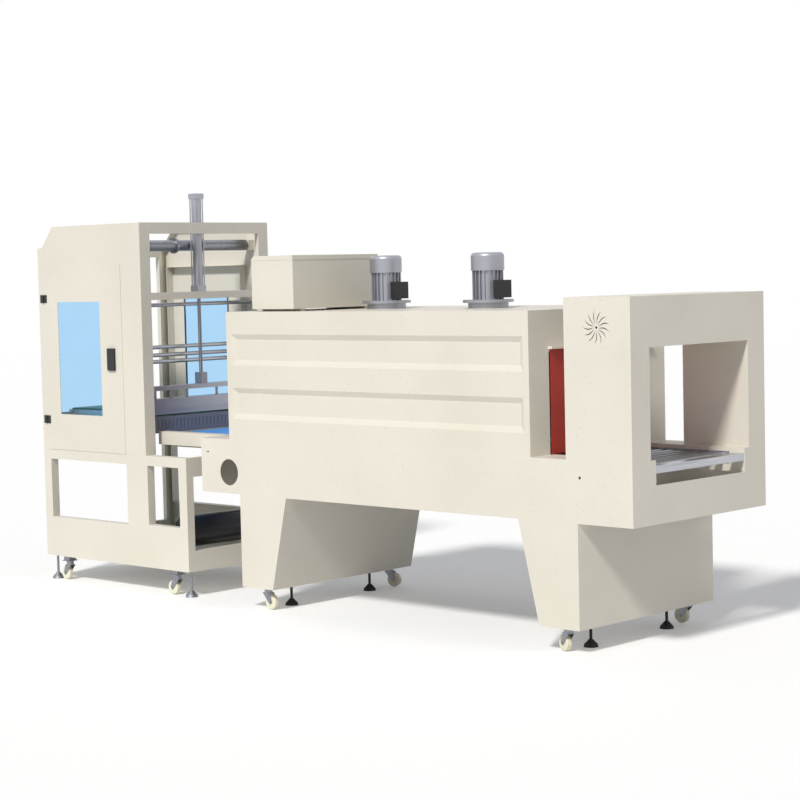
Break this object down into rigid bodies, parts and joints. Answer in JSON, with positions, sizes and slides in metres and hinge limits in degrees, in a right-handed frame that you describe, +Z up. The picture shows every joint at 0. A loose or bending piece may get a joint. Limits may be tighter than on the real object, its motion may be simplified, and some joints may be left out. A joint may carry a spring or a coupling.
{
  "type": "sleeve sealer with shrink tunnel",
  "caption": "Automatic sleeve wrapping line: a side-frame film sealer with a cylinder-driven seal bar feeding a heat-shrink tunnel over a roller track.",
  "frame": {"origin": "middle of the line's footprint, on the floor", "axes": "+X is the way the product runs, -Y is the operator's side, +Z is up"},
  "size_m": [4.168, 1.012, 2.145],
  "materials": {
    "cream_paint": "semi-gloss powder coat",
    "stainless": "brushed",
    "zinc_steel": "zinc plated",
    "motor_aluminium": "cast, silver painted",
    "black_plastic": "matte",
    "black_rubber": "matte",
    "curtain_red": "satin silicone-coated cloth",
    "blue_window": "tinted acrylic",
    "green_belt": "satin belt",
    "blue_belt": "satin belt",
    "wheel_nylon": "satin",
    "grey_guard": "satin",
    "hose_orange": "satin",
    "film_dark": "satin"
  },
  "bodies": {
    "machine": {"air_cylinder": "motor_aluminium", "base_tray": "cream_paint", "bed_end_plates": "cream_paint", "bed_side_panels": "cream_paint", "caster_plates": "zinc_steel", "chamber_end_walls": "cream_paint", "chamber_shell": "cream_paint", "control_box": "cream_paint", "conveyor_side_rails": "cream_paint", "curtain_inlet": "curtain_red", "curtain_outlet": "curtain_red", "door_hinges": "black_plastic", "fan_motors": "motor_aluminium", "film_guide_rods": "stainless", "hood_portal": "cream_paint", "hood_skin": "cream_paint", "infeed_belts": "green_belt", "lower_seal_jaw": "grey_guard", "motor_terminal_boxes": "black_plastic", "outfeed_belt": "blue_belt", "outlet_slide_plate": "stainless", "pedestal_inlet": "cream_paint", "pedestal_outlet": "cream_paint", "roller_track": "zinc_steel", "sealer_cross_beams": "cream_paint", "sealer_frame_back": "cream_paint", "sealer_frame_front": "cream_paint", "sealer_levelling_feet": "zinc_steel", "tunnel_levelling_feet": "black_rubber", "tunnel_liner": "stainless"},
    "front_door": {"door_front": "cream_paint", "door_window_front": "blue_window", "door_fittings_front": "black_plastic"},
    "back_door": {"door_back": "cream_paint", "door_window_back": "blue_window", "door_fittings_back": "black_plastic"},
    "seal_carriage": {"cylinder_rod": "zinc_steel", "upper_seal_bar": "motor_aluminium"},
    "upper_film_shaft": {"upper_film_shaft": "zinc_steel"},
    "lower_film_roll": {"lower_film_roll": "film_dark"},
    "caster_tunnel_inlet_front_swivel": {"caster_tunnel_inlet_front_fork": "zinc_steel"},
    "caster_tunnel_inlet_front_roll": {"caster_tunnel_inlet_front_wheel": "wheel_nylon"},
    "caster_tunnel_inlet_back_swivel": {"caster_tunnel_inlet_back_fork": "zinc_steel"},
    "caster_tunnel_inlet_back_roll": {"caster_tunnel_inlet_back_wheel": "wheel_nylon"},
    "caster_tunnel_outlet_front_swivel": {"caster_tunnel_outlet_front_fork": "zinc_steel"},
    "caster_tunnel_outlet_front_roll": {"caster_tunnel_outlet_front_wheel": "wheel_nylon"},
    "caster_tunnel_outlet_back_swivel": {"caster_tunnel_outlet_back_fork": "zinc_steel"},
    "caster_tunnel_outlet_back_roll": {"caster_tunnel_outlet_back_wheel": "wheel_nylon"},
    "caster_sealer_inlet_front_swivel": {"caster_sealer_inlet_front_fork": "zinc_steel"},
    "caster_sealer_inlet_front_roll": {"caster_sealer_inlet_front_wheel": "wheel_nylon"},
    "caster_sealer_inlet_back_swivel": {"caster_sealer_inlet_back_fork": "zinc_steel"},
    "caster_sealer_inlet_back_roll": {"caster_sealer_inlet_back_wheel": "wheel_nylon"},
    "caster_sealer_outlet_front_swivel": {"caster_sealer_outlet_front_fork": "zinc_steel"},
    "caster_sealer_outlet_front_roll": {"caster_sealer_outlet_front_wheel": "wheel_nylon"},
    "caster_sealer_outlet_back_swivel": {"caster_sealer_outlet_back_fork": "zinc_steel"},
    "caster_sealer_outlet_back_roll": {"caster_sealer_outlet_back_wheel": "wheel_nylon"}
  },
  "joints": [
    {"name": "front_door_hinge", "type": "hinge", "parent": "machine", "child": "front_door", "pos_m": [-2.039, -0.471, 1.2535], "axis": [0, 0, -1], "range_deg": [0, 105]},
    {"name": "back_door_hinge", "type": "hinge", "parent": "machine", "child": "back_door", "pos_m": [-2.039, 0.471, 1.2535], "axis": [0, 0, 1], "range_deg": [0, 105]},
    {"name": "seal_bar_slide", "type": "slide", "parent": "machine", "child": "seal_carriage", "axis": [0, 0, 1], "range_m": [0, 0.38]},
    {"name": "upper_film_spin", "type": "hinge", "parent": "machine", "child": "upper_film_shaft", "pos_m": [-1.317, 0, 1.863], "axis": [0, 1, 0], "continuous": true},
    {"name": "lower_film_spin", "type": "hinge", "parent": "machine", "child": "lower_film_roll", "pos_m": [-1.007, 0, 0.33], "axis": [0, 1, 0], "continuous": true},
    {"name": "caster_tunnel_inlet_front_swivel", "type": "hinge", "parent": "machine", "child": "caster_tunnel_inlet_front_swivel", "pos_m": [-0.266, -0.445, 0.112], "axis": [0, 0, 1], "continuous": true},
    {"name": "caster_tunnel_inlet_front_roll", "type": "hinge", "parent": "caster_tunnel_inlet_front_swivel", "child": "caster_tunnel_inlet_front_roll", "pos_m": [-0.24, -0.445, 0.0395], "axis": [0, 1, 0], "continuous": true},
    {"name": "caster_tunnel_inlet_back_swivel", "type": "hinge", "parent": "machine", "child": "caster_tunnel_inlet_back_swivel", "pos_m": [-0.266, 0.445, 0.112], "axis": [0, 0, 1], "continuous": true},
    {"name": "caster_tunnel_inlet_back_roll", "type": "hinge", "parent": "caster_tunnel_inlet_back_swivel", "child": "caster_tunnel_inlet_back_roll", "pos_m": [-0.24157, 0.45389, 0.0395], "axis": [-0.342, 0.9397, 0], "continuous": true},
    {"name": "caster_tunnel_outlet_front_swivel", "type": "hinge", "parent": "machine", "child": "caster_tunnel_outlet_front_swivel", "pos_m": [1.674, -0.445, 0.112], "axis": [0, 0, 1], "continuous": true},
    {"name": "caster_tunnel_outlet_front_roll", "type": "hinge", "parent": "caster_tunnel_outlet_front_swivel", "child": "caster_tunnel_outlet_front_roll", "pos_m": [1.64957, -0.43611, 0.0395], "axis": [-0.342, -0.9397, 0], "continuous": true},
    {"name": "caster_tunnel_outlet_back_swivel", "type": "hinge", "parent": "machine", "child": "caster_tunnel_outlet_back_swivel", "pos_m": [1.674, 0.445, 0.112], "axis": [0, 0, 1], "continuous": true},
    {"name": "caster_tunnel_outlet_back_roll", "type": "hinge", "parent": "caster_tunnel_outlet_back_swivel", "child": "caster_tunnel_outlet_back_roll", "pos_m": [1.648, 0.445, 0.0395], "axis": [0, -1, 0], "continuous": true},
    {"name": "caster_sealer_inlet_front_swivel", "type": "hinge", "parent": "machine", "child": "caster_sealer_inlet_front_swivel", "pos_m": [-1.936, -0.42, 0.112], "axis": [0, 0, 1], "continuous": true},
    {"name": "caster_sealer_inlet_front_roll", "type": "hinge", "parent": "caster_sealer_inlet_front_swivel", "child": "caster_sealer_inlet_front_roll", "pos_m": [-1.962, -0.42, 0.0395], "axis": [0, -1, 0], "continuous": true},
    {"name": "caster_sealer_inlet_back_swivel", "type": "hinge", "parent": "machine", "child": "caster_sealer_inlet_back_swivel", "pos_m": [-1.936, 0.42, 0.112], "axis": [0, 0, 1], "continuous": true},
    {"name": "caster_sealer_inlet_back_roll", "type": "hinge", "parent": "caster_sealer_inlet_back_swivel", "child": "caster_sealer_inlet_back_roll", "pos_m": [-1.962, 0.42, 0.0395], "axis": [0, -1, 0], "continuous": true},
    {"name": "caster_sealer_outlet_front_swivel", "type": "hinge", "parent": "machine", "child": "caster_sealer_outlet_front_swivel", "pos_m": [-1.005, -0.42, 0.112], "axis": [0, 0, 1], "continuous": true},
    {"name": "caster_sealer_outlet_front_roll", "type": "hinge", "parent": "caster_sealer_outlet_front_swivel", "child": "caster_sealer_outlet_front_roll", "pos_m": [-1.031, -0.42, 0.0395], "axis": [0, -1, 0], "continuous": true},
    {"name": "caster_sealer_outlet_back_swivel", "type": "hinge", "parent": "machine", "child": "caster_sealer_outlet_back_swivel", "pos_m": [-1.005, 0.42, 0.112], "axis": [0, 0, 1], "continuous": true},
    {"name": "caster_sealer_outlet_back_roll", "type": "hinge", "parent": "caster_sealer_outlet_back_swivel", "child": "caster_sealer_outlet_back_roll", "pos_m": [-1.031, 0.42, 0.0395], "axis": [0, -1, 0], "continuous": true}
  ]
}
